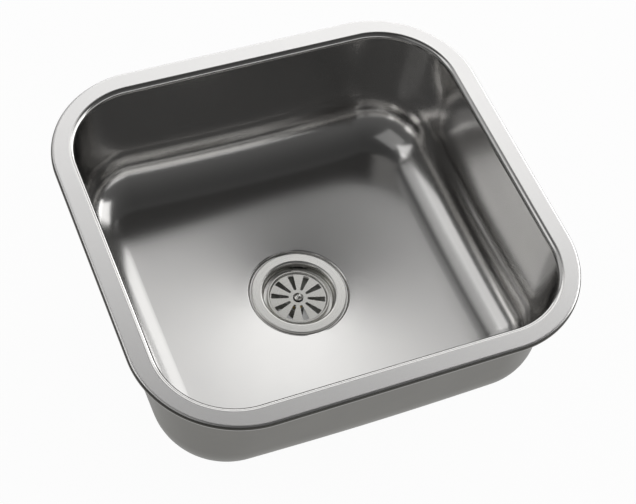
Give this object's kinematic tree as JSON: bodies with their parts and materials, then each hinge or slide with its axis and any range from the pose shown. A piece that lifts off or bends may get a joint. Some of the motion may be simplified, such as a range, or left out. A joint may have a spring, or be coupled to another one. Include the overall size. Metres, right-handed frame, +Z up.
{
  "type": "undermount kitchen sink",
  "caption": "Square-cornered undermount bowl pressed in satin stainless steel, with a flat rim, soft floor roundings and a slotted strainer waste held by a central screw.",
  "frame": {"origin": "centre of the rim, on the plane of the flange's flat top face", "axes": "+Z up out of the bowl, +X along the longer side, -Y towards the user"},
  "size_m": [0.4, 0.378, 0.1874],
  "materials": {
    "bowl_steel": "satin",
    "waste_steel": "fine turned",
    "screw_steel": "polished",
    "pad_bitumen": "matte",
    "gasket_rubber": "matte",
    "washer_nylon": "matte",
    "body_polypropylene": "moulded",
    "insert_brass": "turned"
  },
  "bodies": {
    "sink": {"sink_bowl": "bowl_steel", "sound_pad": "pad_bitumen", "waste_flange": "waste_steel", "flange_gasket": "gasket_rubber", "body_gasket": "gasket_rubber", "waste_body": "body_polypropylene", "screw_insert": "insert_brass"},
    "strainer": {"strainer_plate": "waste_steel"},
    "washer": {"screw_washer": "washer_nylon"},
    "screw": {"strainer_screw": "screw_steel"}
  },
  "joints": [
    {"name": "strainer_lift", "type": "slide", "parent": "sink", "child": "strainer", "axis": [0, 0, 1], "range_m": [0, 0.06]},
    {"name": "screw_rise", "type": "slide", "parent": "strainer", "child": "washer", "axis": [0, 0, 1], "range_m": [0, 0.012]},
    {"name": "screw_turn", "type": "hinge", "parent": "washer", "child": "screw", "pos_m": [0, 0, -0.14208], "axis": [0, 0, 1], "range_deg": [0, 4320]}
  ],
  "couplings": [
    {"joint": "screw_turn", "follows": "screw_rise", "rad_per_m": 6283.2}
  ]
}
